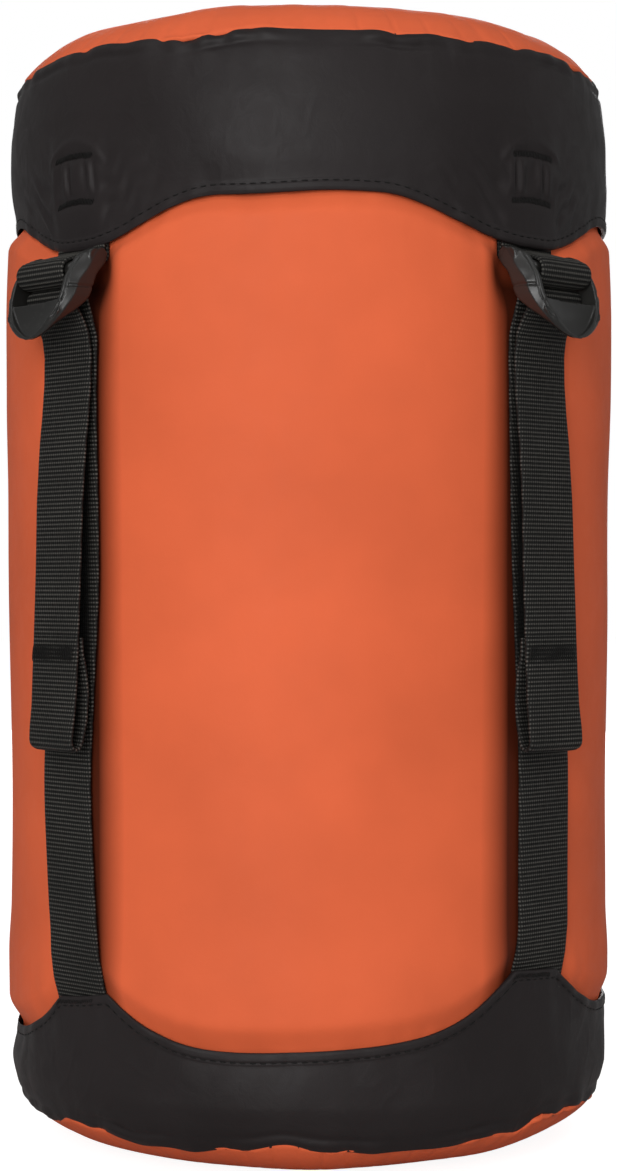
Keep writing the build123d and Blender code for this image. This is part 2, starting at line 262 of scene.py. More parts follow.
def grid_faces(rows, columns, wrap_rows, wrap_columns, first=0):
    """Quads between neighbouring points of a grid, whose points are numbered from first."""
    r = np.arange(rows if wrap_rows else rows - 1)
    c = np.arange(columns if wrap_columns else columns - 1)
    r, c = np.meshgrid(r, c, indexing="ij")
    r, c = r.ravel(), c.ravel()
    r2, c2 = (r + 1) % rows, (c + 1) % columns
    return first + np.stack([r * columns + c, r * columns + c2, r2 * columns + c2, r2 * columns + c], 1)


def face_outwards(piece):
    """Turns every face of a closed mesh outwards."""
    work = bmesh.new()
    work.from_mesh(piece.data)
    bmesh.ops.recalc_face_normals(work, faces=work.faces)
    work.to_mesh(piece.data)
    work.free()
    return piece


def tube_faces(rows, columns, first=0):
    """Faces of a tube of closed rows, with a flat cap at each end."""
    last = first + (rows - 1) * columns
    caps = [range(first, first + columns), range(last + columns - 1, last - 1, -1)]
    return list(grid_faces(rows, columns, False, True, first)) + caps


def place(piece, body, *nodes, slot=None):
    """The body a piece rides on, the CAD nodes it stands for and its material's slot; slot is not used."""
    if nodes:
        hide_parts(*nodes)
    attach(piece, body)


def turned_sheet(name, radius, height, azimuth, material):
    """A closed ring of fabric: radius and height are (rows, columns) arrays of a closed outline."""
    points = upright_point(azimuth, radius, 0, height).reshape(-1, 3)
    return face_outwards(make_mesh(name, points, grid_faces(*radius.shape, True, True), material))


def running_length(path):
    """The distance along a polyline at each of its points."""
    return np.concatenate([[0], np.cumsum(np.linalg.norm(np.diff(path, axis=0), axis=1))])


def resampled(path, count):
    """A polyline with that many points, at even steps."""
    lengths = running_length(path)
    at = np.linspace(0, lengths[-1], count)
    return np.stack([np.interp(at, lengths, column) for column in path.T], 1)


def smoothed(path, spacing):
    """A polyline in (r, z) resampled at even steps, with its corners rounded."""
    path = np.array(path, float)
    for _ in range(3):
        path = resampled(path, int(running_length(path)[-1] / 0.5) + 1)
        path[1:-1] = (path[:-2] + path[1:-1] * 2 + path[2:]) / 4
    return resampled(path, round(running_length(path)[-1] / spacing) + 1)


def coat(piece, material):
    """Gives a piece one material in place of any it has."""
    piece.data.materials.clear()
    piece.data.materials.append(material)


def arc_points(centre, radius, start, end, steps=14):
    angles = np.radians(np.linspace(start, end, steps))
    return [(centre[0] + radius * math.cos(a), centre[1] + radius * math.sin(a)) for a in angles]


def tangent_point(start, centre, radius, side):
    """Where a line from start touches a circle; side is 1 for the left of the line, -1 for its right."""
    dx, dz = centre[0] - start[0], centre[1] - start[1]
    distance = math.hypot(dx, dz)
    direction = math.atan2(dz, dx) + side * math.asin(radius / distance)
    length = math.sqrt(distance**2 - radius**2)
    return (start[0] + length * math.cos(direction), start[1] + length * math.sin(direction))


def angle_round(centre, point):
    return math.degrees(math.atan2(point[1] - centre[1], point[0] - centre[0]))


def upright_point(azimuth, r, t, z):
    """Metres of a point given by radius, distance t across the strap and height, all in mm."""
    a = np.radians(azimuth)
    x, y = r * np.cos(a) - t * np.sin(a), r * np.sin(a) + t * np.cos(a)
    return np.stack([x, y, z + 0 * x], -1) * MM


def webbing(name, path, azimuth, phase=0.0, thick=WEB_THICK, sway=None, twist=None):
    """Ribbed webbing along a path in the strap's upright plane, as a closed mesh.

    sway(z) moves it sideways, and twist(z) turns its face, as mm of radius per mm of width.
    """
    centre = path if isinstance(path, np.ndarray) else smoothed(path, RIB_STEP)
    tangent = np.gradient(centre, axis=0)
    tangent /= np.linalg.norm(tangent, axis=1)[:, None]
    normal = np.stack([tangent[:, 1], -tangent[:, 0]], 1)
    along = running_length(centre)
    columns = 16
    u = np.linspace(-1, 1, columns)
    across = np.sin(u * math.pi / 2 * 0.97) / math.sin(math.pi / 2 * 0.97) * WEB_WIDTH / 2
    edge = np.clip(1 - np.abs(across / (WEB_WIDTH / 2)) ** 10, 0, 1)
    half = thick / 2 * (0.42 + 0.58 * edge)
    selvedge = 0.05 * bell(np.abs(across) - WEB_WIDTH / 2 + 1.1, 0.5)
    rib = 0.11 * np.cos(2 * math.pi * (along + phase) / RIB_PITCH)
    rows, uv = [], []
    for side in (1, -1):
        order = slice(None) if side == 1 else slice(None, None, -1)
        w = across[order]
        lift = side * ((half + selvedge)[order] + rib[:, None] * edge[order])
        r = centre[:, :1] + normal[:, :1] * lift
        z = centre[:, 1:] + normal[:, 1:] * lift
        if twist:
            r = r + twist(centre[:, 1:]) * w
        t = w + (sway(z) if sway else 0 * z)
        rows.append(upright_point(azimuth, r, t, z))
        uv.append(np.stack(np.broadcast_arrays(w, along[:, None] + phase), -1))
    points = np.concatenate(rows, 1)
    coords = np.concatenate(uv, 1).reshape(-1, 2)
    count, loop = points.shape[:2]
    faces = list(grid_faces(count, loop, False, True))
    for row in (0, count - 1):
        base = row * loop
        for i in range(columns - 1):
            faces.append((base + i, base + i + 1, base + loop - 2 - i, base + loop - 1 - i))
    piece = make_mesh(name, points.reshape(-1, 3), faces, MAT["webbing"])
    face_outwards(piece)
    layer = piece.data.uv_layers.new(name="weave")
    index = np.zeros(len(piece.data.loops), int)
    piece.data.loops.foreach_get("vertex_index", index)
    layer.data.foreach_set("uv", (coords[index] / 10).astype(np.float32).ravel())
    return piece


def ring_round(centre, side, other, sizes):
    """Points round a centre in the plane of two directions, at these distances from it."""
    angles = 2 * math.pi * np.arange(len(sizes)) / len(sizes)
    return centre + np.outer(np.cos(angles) * sizes, side) + np.outer(np.sin(angles) * sizes, other)


def threads(name, starts, ends, normals, radius=0.2, rise=0.25):
    """Stitches: short threads that rise out of the fabric and go back in. All in mm."""
    starts, ends, normals = (np.array(v, float) for v in (starts, ends, normals))
    normals = normals / np.linalg.norm(normals, axis=1)[:, None]
    rings, sides = 7, 6
    rows, faces = [], []
    for start, end, normal in zip(starts, ends, normals):
        faces += tube_faces(rings, sides, len(rows) * sides)
        run = end - start
        side = np.cross(run, normal)
        side /= np.linalg.norm(side)
        for f in np.linspace(0, 1, rings):
            swell = abs(math.sin(math.pi * f))
            middle = start + run * f + normal * (rise * swell**0.6 - 0.12)
            rows.append(ring_round(middle, side, normal, [radius * (0.35 + 0.65 * swell**0.5)] * sides))
    piece = face_outwards(make_mesh(name, np.concatenate(rows) * MM, faces, MAT["thread"]))
    return piece


# --- Materials ---
class Nodes:
    """Short names for building a node tree."""

    def __init__(self, name):
        self.material = bpy.data.materials.new(name)
        self.material.use_nodes = True
        self.tree = self.material.node_tree
        self.shader = self.tree.nodes["Principled BSDF"]

    def put(self, node, key, value):
        """Links a node's input to another node's output, or gives it a value of its own."""
        if isinstance(value, bpy.types.NodeSocket):
            self.tree.links.new(value, node.inputs[key])
        else:
            node.inputs[key].default_value = value

    def add(self, kind, inputs=None, **settings):
        node = self.tree.nodes.new(kind)
        for key, value in settings.items():
            setattr(node, key, value)
        for key, value in (inputs or {}).items():
            self.put(node, key, value)
        return node

    def surface(self, **values):
        """Inputs of the material's shader, with _ for the spaces in their names."""
        for key, value in values.items():
            self.put(self.shader, key.replace("_", " "), value)

    def math(self, operation, a, b=0.0):
        return self.add("ShaderNodeMath", {0: a, 1: b}, operation=operation).outputs[0]

    def times(self, a, b):
        return self.math("MULTIPLY", a, b)

    def plus(self, a, b):
        return self.math("ADD", a, b)

    def larger(self, a, b):
        return self.math("MAXIMUM", a, b)

    def mix(self, factor, a, b):
        return self.add("ShaderNodeMix", {0: factor, 6: a, 7: b}, data_type="RGBA").outputs[2]

    def range(self, value, low, high, to_low=0.0, to_high=1.0):
        inputs = {0: value, 1: low, 2: high, 3: to_low, 4: to_high}
        return self.add("ShaderNodeMapRange", inputs).outputs[0]

    def position(self):
        return self.add("ShaderNodeTexCoord").outputs["Object"]

    def noise(self, scale, detail, **more):
        inputs = {"Vector": self.position(), "Scale": scale, "Detail": detail, **more}
        return self.add("ShaderNodeTexNoise", inputs).outputs[0]

    def bump(self, height, strength, distance, **more):
        inputs = {"Height": height, "Strength": strength, "Distance": distance, **more}
        return self.add("ShaderNodeBump", inputs).outputs[0]


def shade(colour, factor):
    return tuple(min(1.0, c * factor) for c in colour[:3]) + (1.0,)


def sack_coordinates(n):
    """Position in mm: x, y, z, and the distance round the sack."""
    split = n.add("ShaderNodeSeparateXYZ", {0: n.position()})
    x, y, z = (n.times(output, 1 / MM) for output in split.outputs)
    round_it = n.times(n.math("ARCTAN2", y, x), SACK_R)
    return x, y, z, round_it


def into_panel(n, round_it):
    """Distance in mm from a strap's centre line towards the middle of the front or back panel."""
    quarter = SACK_R * math.pi / 4
    from_middle = n.math("ABSOLUTE", n.math("SUBTRACT", n.math("ABSOLUTE", round_it), 2 * quarter))
    return n.math("SUBTRACT", quarter, from_middle)


def strap_shade(n, round_it, z):
    """Painted shade: 0 in the crease beside each strap, on the front and back panels' side, and 1 away from
    it and above 252 mm.
    """
    inwards = into_panel(n, round_it)
    fading = n.math("POWER", n.range(inwards, 9.0, 18.5), 0.8)
    fading = n.larger(fading, n.range(z, 240.0, 252.0))
    return n.larger(fading, n.range(inwards, -6.0, 2.0, 1.0, 0.0))


def nylon(name, colour, roughness, shine, crumple, flat=False, dark=0.93, light=1.06, shaded=False):
    """Coated nylon: a fine plain weave, soft creases, a slight change of tone and, where shaded is set,
    painted shade beside the straps.
    """
    n = Nodes(name)
    x, y, z, round_it = sack_coordinates(n)
    pitch = 2 * math.pi / WEAVE_PITCH
    first = n.math("SINE", n.times(x if flat else round_it, pitch))
    second = n.math("SINE", n.times(y if flat else z, pitch))
    weave = n.times(first, second)
    fine = n.noise(150.0, 4.0, Roughness=0.6, Distortion=0.6)
    base = n.mix(n.range(n.noise(28.0, 3.0), 0.3, 0.7), shade(colour, dark), shade(colour, light))
    # painted shade: the cloth's colour darkens in the crease beside each strap
    if shaded:
        base = n.mix(strap_shade(n, round_it, z), shade(colour, 0.11), base)
    roughness = n.range(fine, 0.3, 0.7, roughness - 0.05, roughness + 0.06)
    soft = n.bump(fine, crumple, 0.0012)
    woven = n.bump(weave, 0.12, 0.00012, Normal=soft)
    n.surface(Base_Color=base, Roughness=roughness, Specular_IOR_Level=shine, Normal=woven)
    return n.material


def under_tail_shade(n):
    """0 on the part of a run that its hanging tail shades, and 1 elsewhere."""
    x, y, z, round_it = sack_coordinates(n)
    radius = n.math("SQRT", n.plus(n.times(x, x), n.times(y, y)))
    beyond = n.larger(n.range(radius, 90.3, 91.0), n.range(z, 190.0, 206.0))
    beyond = n.larger(beyond, n.range(z, 132.0, 146.0, 1.0, 0.0))
    return n.larger(beyond, n.range(into_panel(n, round_it), 6.6, 8.0))


def webbing_material():
    """Ribbed polypropylene webbing, with the ribs' yarns, painted light on the lighter crowns and painted
    shade in the grooves.
    """
    n = Nodes("webbing")
    weave = n.add("ShaderNodeUVMap", uv_map="weave").outputs[0]
    split = n.add("ShaderNodeSeparateXYZ", {0: weave})
    across = n.times(split.outputs[0], 10.0)
    along = n.times(split.outputs[1], 10.0)
    rib = n.math("COSINE", n.times(along, 2 * math.pi / RIB_PITCH))
    slant = n.plus(n.times(across, 2 * math.pi / YARN_PITCH), n.times(along, 0.7))
    yarn = n.math("SINE", slant)
    crown = n.range(rib, -0.3, 1.0)
    height = n.plus(n.times(rib, 0.6), n.times(yarn, 0.4))
    # painted light and shade: crowns and yarn tops lighter, grooves between them darker
    lit = n.times(crown, n.range(yarn, -0.8, 0.9, 0.12, 1.0))
    lit = n.times(lit, n.range(n.noise(60.0, 3.0), 0.3, 0.7, 0.7, 1.1))
    lit = n.times(lit, under_tail_shade(n))
    colour = n.mix(lit, (0.0062, 0.0059, 0.0053, 1), (0.112, 0.107, 0.095, 1))
    roughness = n.range(n.noise(900.0, 2.0), 0.3, 0.7, 0.55, 0.8)
    n.surface(Base_Color=colour, Roughness=roughness, Specular_IOR_Level=0.22)
    n.surface(Sheen_Weight=0.0, Normal=n.bump(height, 0.5, 0.0002))
    return n.material


def moulded(name, colour, roughness):
    """Moulded acetal: satin, a fine spark texture, and a lighter colour on convex edges."""
    n = Nodes(name)
    edge = n.add("ShaderNodeNewGeometry").outputs["Pointiness"]
    colour = n.mix(n.range(edge, 0.5, 0.62), shade(colour, 1.0), shade(colour, 1.7))
    roughness = n.range(n.noise(90.0, 3.0), 0.3, 0.7, roughness - 0.05, roughness + 0.08)
    n.surface(Base_Color=colour, Roughness=roughness, Specular_IOR_Level=0.55)
    n.surface(Normal=n.bump(n.noise(1800.0, 2.0), 0.06, 0.0001))
    return n.material


def thread_material(name, colour, pitch):
    """Twisted thread or braided cord, with painted light on the twist's crests and painted shade between
    them.
    """
    n = Nodes(name)
    x, y, z = sack_coordinates(n)[:3]
    along = n.plus(n.plus(x, y), z)
    twist = n.math("SINE", n.times(along, 2 * math.pi / pitch))
    # painted light and shade: the colour follows the twist's relief, lighter on crests and darker between
    colour = n.mix(n.range(twist, -1.0, 1.0), shade(colour, 0.7), shade(colour, 1.35))
    n.surface(Base_Color=colour, Roughness=0.6, Specular_IOR_Level=0.2)
    n.surface(Normal=n.bump(twist, 0.4, 0.0001))
    return n.material


def steel_material():
    """Drawn spring wire."""
    n = Nodes("spring_steel")
    roughness = n.range(n.noise(700.0, 2.0), 0.3, 0.7, 0.22, 0.38)
    n.surface(Base_Color=(0.55, 0.55, 0.57, 1), Metallic=1.0, Roughness=roughness)
    return n.material


ORANGE = (0.80, 0.143, 0.054)
BLACK = (0.0205, 0.0168, 0.0170)
MAT = {
    # the orange body cloth carries painted shade beside the straps
    "orange": nylon("orange_nylon", ORANGE, 0.55, 0.10, 0.08, shaded=True),
    "orange_flat": nylon("orange_nylon_flat", ORANGE, 0.55, 0.12, 0.08, flat=True),
    "black": nylon("black_nylon", BLACK, 0.44, 0.16, 0.16, dark=0.9, light=1.1),
    "webbing": webbing_material(),
    "acetal": moulded("acetal", (0.0125, 0.0120, 0.0110), 0.33),
    "thread": thread_material("thread", (0.009, 0.0085, 0.008), 0.35),
    "cord": thread_material("cord", (0.030, 0.030, 0.030), 0.9),
    "steel": steel_material(),
}


# --- Fabric: skirt, base band, body tube and the two discs ---
def around(columns):
    return np.arange(columns) * 360.0 / columns


def patch_relief(azimuth, up):
    """Relief of the webbing sewn behind the fabric over a strap, with its tacks and puckers, in mm."""
    t = across_strap(azimuth, SACK_R)
    aside = np.abs(t)
    climb = up - LID_PEAK
    webbing_behind = smooth((13.5 - aside) / 5.0) * smooth((climb + 3) / 5) * smooth((36 - climb) / 10)
    pulled = sum(bell(climb - up, 1.3) for up in TACKS_UP) * smooth((9.5 - aside) / 2.5)
    between = bell(climb - 19.2, 4.6, 4) * smooth((10.5 - aside) / 3)
    upright = np.sin(t * 1.15 + 1.2 * np.sin(climb * 0.16 + azimuth)) * 0.42 * between
    over = 0.4 * bell(climb - 29.5 + 0.045 * t**2, 1.3) * smooth((13 - aside) / 3)
    spread = smooth((aside - 9) / 4) * bell(aside - 9, 14.0) * bell(climb - 14, 9.0)
    fan = np.sin(climb * 0.90 - aside * 0.80 + 0.9 * np.sin(climb * 0.21 + azimuth * 0.9))
    return 0.7 * webbing_behind - 0.6 * pulled + 0.5 * spread * fan + 1.25 * upright + over


def scattered(azimuth, up, wave_round, wave_up, seed):
    """Small wrinkles that come and go in patches."""
    patches = smooth((ripples(azimuth, up, 60, 45, seed + 500) - 0.15) / 0.5)
    return creases(ripples(azimuth, up, wave_round, wave_up, seed)) * patches


def seam_ridge(to_seam, crest, azimuth, wave, seed):
    """The lip of a seam and the furrow beside it, stronger in some places, in mm."""
    shape = 0.5 * bell(to_seam - crest, 1.0) - 0.5 * bell(to_seam - crest - 2.2, 0.8)
    return shape * (0.55 + 0.45 * ripples(azimuth, 0, wave, 50, seed))


def skirt_relief(azimuth, up):
    """Relief of the lid skirt's surface in mm."""
    below_seam = LID_SEAM + lid_seam_wobble(azimuth) - up
    above_hem = up - lid_hem(azimuth)
    gathers = ripples(azimuth, up, 11, 90, 31) * 0.30 * fading(below_seam - 1, 4.0)
    crumple = ripples(azimuth, up, 60, 55, 33) * 0.34 + ripples(azimuth, up, 24, 30, 34) * 0.06
    small = scattered(azimuth, up, 19, 26, 38) * 0.07
    tugs = ripples(azimuth, up, 12, 60, 35) * 0.28 * fading(above_hem - 3, 5.0)
    tugs = tugs * smooth((from_arch(azimuth) - 12) / 12) * smooth((44 - from_arch(azimuth)) / 12)
    ridge = seam_ridge(below_seam, 1.3, azimuth, 40, 36)
    drawn_in = lid_pinch(azimuth) * bell(above_hem, 9.0)
    return gathers + crumple + small + tugs + ridge + patch_relief(azimuth, up) - drawn_in


def band_relief(azimuth, up):
    """Relief of the base band's surface in mm."""
    above_seam = up - BASE_SEAM - base_seam_wobble(azimuth)
    below_hem = base_hem(azimuth) - up
    gathers = ripples(azimuth, up, 12, 90, 41) * 0.26 * fading(above_seam - 1, 4.0)
    crumple = ripples(azimuth, up, 60, 50, 43) * 0.34 + ripples(azimuth, up, 22, 28, 44) * 0.11
    small = scattered(azimuth, up, 19, 26, 48) * 0.12
    tugs = ripples(azimuth, up, 13, 60, 45) * 0.16 * fading(below_hem - 3, 4.5)
    ridge = seam_ridge(above_seam, 1.4, azimuth, 38, 46)
    t = across_strap(azimuth, SACK_R)
    foot = 0.45 * smooth((13 - np.abs(t)) / 6.0) * smooth((up - BASE_PEAK + 22) / 9)
    drawn_in = base_pinch(azimuth) * bell(below_hem, 6.5)
    return gathers + crumple + small + tugs + ridge + foot - drawn_in


HEM_STITCH = 2.7


def hem_band(name, hem, seam, direction, profile, relief, thick, rows):
    """A band of fabric with a turned hem at one edge and a seam at the other."""
    azimuth = around(960)
    hem_z = hem(azimuth)
    seam_z = seam(azimuth)
    length = (seam_z - hem_z) * direction
    near = (0.45, 0.8, 1.2, 1.6, 2.0, 2.3, 2.55, 2.8, 3.05, 3.35, 3.7, 4.2, 4.9, 5.8)
    from_hem = [d + 0 * hem_z for d in near]
    from_hem = np.array(from_hem + [6.6 + (length - 6.6) * s for s in np.linspace(0, 1, rows) ** 0.9])
    up = hem_z + direction * from_hem
    turned = 0.42 * smooth((3.5 - from_hem) / 0.7)
    stitch_line = -0.3 * bell(from_hem - HEM_STITCH, 0.33)
    rounded = -0.35 * smooth((0.9 - from_hem) / 0.9)
    outer_r = curve(profile, up) + relief(azimuth[None, :], up) + turned + stitch_line + rounded
    # the seam's last rows turn inwards
    tuck_r = np.array([outer_r[-1] - inwards for inwards in (0.135, 0.45, 0.9)])
    tuck_up = np.array([seam_z + direction * rise for rise in (0.175, 0.28, 0.105)])
    # the inner face goes back to the hem
    inner_up = seam_z - direction * (0.6 + (length - 1.2) * np.linspace(0, 1, rows // 2)[:, None])
    wall = thick * (1 + 0.35 * smooth((4 - (inner_up - hem_z) * direction) / 2))
    inner_r = curve(profile, inner_up) - wall + 0.35 * relief(azimuth[None, :], inner_up)
    # and a rounded edge joins the two faces
    edge = np.radians([-60, -20, 20, 60])[:, None]
    middle, half = (outer_r[0] + inner_r[-1]) / 2, (outer_r[0] - inner_r[-1]) / 2
    edge_r = middle + half * np.sin(edge)
    edge_up = hem_z + direction * (0.45 - 0.42 * np.cos(edge))
    radius = np.concatenate([outer_r, tuck_r, inner_r, edge_r])
    height = np.concatenate([up, tuck_up, inner_up, edge_up])
    return turned_sheet(name, radius, height, azimuth, MAT["black"])


def line_of_stitches(name, height, radius):
    """Stitches that follow a line round the sack, given height and radius as functions of azimuth."""
    count = 200
    first = np.arange(count) * 360.0 / count
    last = first + 360.0 / count * 0.74
    ends = []
    for azimuth in (first, last):
        z = height(azimuth)
        ends.append(upright_point(azimuth, radius(azimuth, z), 0, z) / MM)
    return threads(name, *ends, upright_point((first + last) / 2, 1, 0, 0))


def sewn_band(node, body, hem, direction, seam_z, wobble, profile, relief, thick, rows):
    """A black band on one body, with a line of stitches along its hem."""

    def seam(azimuth):
        return seam_z + wobble(azimuth)

    def stitch_height(azimuth):
        return hem(azimuth) + direction * HEM_STITCH

    def stitch_radius(azimuth, z):
        return curve(profile, z) + relief(azimuth, z) + 0.1

    band = hem_band(f"{node}_fabric", hem, seam, direction, profile, relief, thick, rows)
    place(band, body, node, slot="black_nylon")
    place(line_of_stitches(f"{body}_hem_stitches", stitch_height, stitch_radius), body)


def bands():
    sewn_band(
        "lid_skirt", "lid", lid_hem, 1, LID_SEAM, lid_seam_wobble, SKIRT_PROFILE, skirt_relief, 0.75, 84
    )
    sewn_band(
        "base_band", "base", base_hem, -1, BASE_SEAM, base_seam_wobble, BAND_PROFILE, band_relief, 0.7, 50
    )


def run_drift(azimuth, up):
    """Sideways drift of the nearest strap's run, in mm."""
    total = 0.0
    for name, at in STRAP_AZIMUTHS.items():
        near = np.abs((azimuth - at + 180) % 360 - 180) < 45
        total = total + near * curve(RUN_DRIFT[name], up)
    return total


def body_radius(azimuth, up):
    """Radius of the body tube: barrel, pressed in by straps and by the two hems, in mm."""
    free = curve(BODY_PROFILE, up)
    t = across_strap(azimuth, SACK_R) - run_drift(azimuth, up)
    pressed = bell(t, 13.2, 5)
    deep = GROOVE_R + (83.2 - GROOVE_R) * smooth((up - 232) / 13)
    free = free - 0.5 * bell(t, 21, 4) * smooth((up - 50) / 20)
    radius = free * (1 - pressed) + deep * pressed
    over_base = up - base_hem(azimuth)
    under_lid = lid_hem(azimuth) - up
    low = 85.9 - base_pinch(azimuth)
    radius = low + (radius - low) * smooth((over_base + 1.5) / 9.0)
    top = np.minimum(85.7 - lid_pinch(azimuth), radius)
    radius = top + (radius - top) * smooth((under_lid + 1.5) / 7.5)
    puckers = ripples(azimuth, up, 9, 40, 51) * 0.16
    near = bell(over_base, 7.0, 1) + bell(under_lid, 7.0, 1)
    slow = ripples(azimuth, up, 48, 120, 52) * 0.17 + ripples(azimuth, up, 26, 80, 53) * 0.05
    calm = 1 - 0.85 * pressed
    return radius + (puckers * near + slow) * calm


def mouth_ruffle(azimuth):
    """The even pleats of the drawn-up mouth, about -1.3 to 1.3."""
    a = np.radians(azimuth)
    return np.sin(a * 26 + 0.8 * np.sin(a * 5)) + 0.35 * np.sin(a * 52 + 1)


def body_tube():
    """One tube of nylon from the base seam to the gathered mouth, with its inner face."""
    azimuth = around(640)[None, :]
    levels = [
        np.linspace(13.0, 60.0, 46), np.linspace(62.0, 236.0, 96), np.linspace(238.0, SHOULDER_Z, 44),
    ]
    up = np.concatenate(levels)[:, None] + 0 * azimuth
    radius = body_radius(azimuth, up) - 3.0 * smooth((22 - up) / 9)
    # shoulder, then pleats drawn in to the cord channel
    turn = np.radians(np.linspace(8, 90, 14))[:, None]
    shoulder_r = radius[-1] - 11 * (1 - np.cos(turn))
    shoulder_z = SHOULDER_Z + 11 * np.sin(turn) + 0 * azimuth
    inwards = np.linspace(0, 1, 34)[1:, None]
    mouth_r = shoulder_r[-1] + (27.9 - shoulder_r[-1]) * inwards
    wave = mouth_ruffle(azimuth)
    depth = 0.25 + 1.5 * smooth(inwards) * (0.8 + 0.2 * np.sin(np.radians(azimuth) * 7))
    mouth_z = MOUTH_Z + wave * depth * 0.75 - 1.2 * inwards
    # a short neck carries the pleats up into the cord channel
    climb = np.linspace(0, 1, 10)[1:, None]
    neck_r = mouth_r[-1] + (MOUTH_R + 1.6 - mouth_r[-1]) * climb ** 2 + 0.3 * wave * (1 - climb)
    neck_z = mouth_z[-1] + (CHANNEL_Z - 1.5 - mouth_z[-1]) * climb
    wall = 0.45
    r = [radius, shoulder_r, mouth_r, neck_r] + [
        rows[::-3] - wall for rows in (neck_r, mouth_r, shoulder_r, radius)
    ]
    z = [up, shoulder_z, mouth_z, neck_z]
    z += [neck_z[::-3], mouth_z[::-3] - wall, shoulder_z[::-3] - wall, up[::-3]]
    piece = turned_sheet("body_tube_fabric", np.concatenate(r), np.concatenate(z), azimuth, MAT["orange"])
    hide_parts("body_lower", "body_upper")
    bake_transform(piece)


def disc(name, dome, seam_offset, rim_r, rim_relief, side):
    """A round of fabric sewn into a seam. side is 1 for the lid, -1 for the base."""
    columns = 720
    azimuth = around(columns)[None, :]
    share = (np.linspace(0.004, 1, 90) ** 0.8)[:, None]
    edge_r = rim_r - seam_offset(azimuth) * side * 0.95
    radius = share * edge_r
    height = curve(dome, radius) + side * rim_relief(azimuth, radius, edge_r - radius)
    tuck_r = [edge_r - inwards for inwards in (0.05, 0.5, 1.2)]
    tuck_z = [height[-1:] - side * depth for depth in (0.8, 1.3, 1.5)]
    inner_r = radius[:-3][::-4]
    inner_z = height[:-3][::-4] - side * (0.5 + 0.5 * smooth(inner_r / edge_r - 0.9))
    r = np.concatenate([radius, *tuck_r, inner_r])
    z = np.concatenate([height, *tuck_z, inner_z])
    points = upright_point(azimuth, r, 0, z).reshape(-1, 3)
    faces = list(grid_faces(len(r), columns, False, True))
    # the small holes at the middle of each face are closed with fans
    top, back = len(points), (len(r) - 1) * columns
    points = np.concatenate([points, [[0, 0, z[0].mean() * MM], [0, 0, z[-1].mean() * MM]]])
    for i in range(columns):
        j = (i + 1) % columns
        faces += [(top, i, j), (top + 1, back + j, back + i)]
    return face_outwards(make_mesh(name, points, faces, MAT["orange_flat"]))


def lid_disc_relief(azimuth, radius, to_seam):
    """Relief of the lid's dome in mm: gathers at the seam, long folds and soft waves."""
    gathers = creases(ripples(azimuth, 0, 21, 50, 61)) * 0.45 * fading(to_seam, 8.0)
    long_folds = creases(ripples(azimuth, 0, 60, 50, 62)) * 0.25 * fading(to_seam, 20.0)
    soft = ripples(azimuth, radius, 60, 70, 63) * 0.22 * smooth(radius / 30)
    fine = ripples(azimuth, radius, 22, 24, 64) * 0.1 * smooth(radius / 40)
    return soft + fine - gathers - long_folds + 0.25 * fading(to_seam, 3.0)


def base_disc_relief(azimuth, radius, to_seam):
    gathers = creases(ripples(azimuth, 0, 16, 50, 71)) * 0.6 * fading(to_seam, 7.0)
    soft = ripples(azimuth, radius, 60, 70, 73) * 0.25 * smooth(radius / 60) * smooth((radius - 62) / 8)
    return soft - gathers + 0.2 * fading(to_seam, 3.0)


def discs():
    lid = disc("lid_disc_fabric", LID_DOME, lid_seam_wobble, 84.75, lid_disc_relief, 1)
    place(lid, "lid", "lid_disc", slot="orange_nylon")
    base = disc("base_disc_fabric", BASE_DOME, base_seam_wobble, 83.2, base_disc_relief, -1)
    place(base, "base", "base_disc", slot="orange_nylon")


# --- Mouth: cord channel, cord and lock ---
CHANNEL_Z = box_mm("mouth_collar")[1].z - 4.5
MOUTH_R = 24.0


def cord_channel():
    """The ruffled fabric channel round the mouth."""
    azimuth = around(540)[None, :]
    angle = np.linspace(0, 2 * math.pi, 40, endpoint=False)[:, None]
    out, over = np.cos(angle), np.sin(angle)
    ruffle = mouth_ruffle(azimuth) * (0.6 + 0.4 * np.sin(np.radians(azimuth) * 3 + 0.4))
    r = MOUTH_R + 3.1 * out * np.abs(out) ** -0.15 + 0.55 * ruffle * out**2 + 0.5 * ruffle * over
    z = CHANNEL_Z + (4.2 + 0.45 * ruffle * (over > 0) * over) * over
    piece = turned_sheet("mouth_channel_fabric", r, z, azimuth, MAT["orange_flat"])
    place(piece, "mouth", "mouth_collar", slot="orange_nylon")


def cord(name, path, radius, *nodes):
    """A braided cord along 3-D points in mm."""
    sides = 20
    path = np.array(path, float)
    length = running_length(path)[-1]
    count = int(length / 0.3)
    path = resampled(path, count)
    for _ in range(4):
        path[1:-1] = (path[:-2] + path[1:-1] * 2 + path[2:]) / 4
    tangents = np.gradient(path, axis=0)
    tangents /= np.linalg.norm(tangents, axis=1)[:, None]
    angles = 2 * math.pi * np.arange(sides) / sides
    rows = []
    for at, centre, tangent in zip(np.linspace(0, length, count), path, tangents):
        side = np.cross(tangent, (0, 0, 1))
        side /= np.linalg.norm(side)
        braid = np.abs(np.sin(angles * 4 + at * 2.0) * np.sin(angles * 4 - at * 2.0))
        rows.append(ring_round(centre, side, np.cross(side, tangent), radius * (0.93 + 0.12 * braid)))
    piece = make_mesh(name, np.concatenate(rows) * MM, tube_faces(count, sides), MAT["cord"])
    place(face_outwards(piece), "mouth", *nodes, slot="cord")


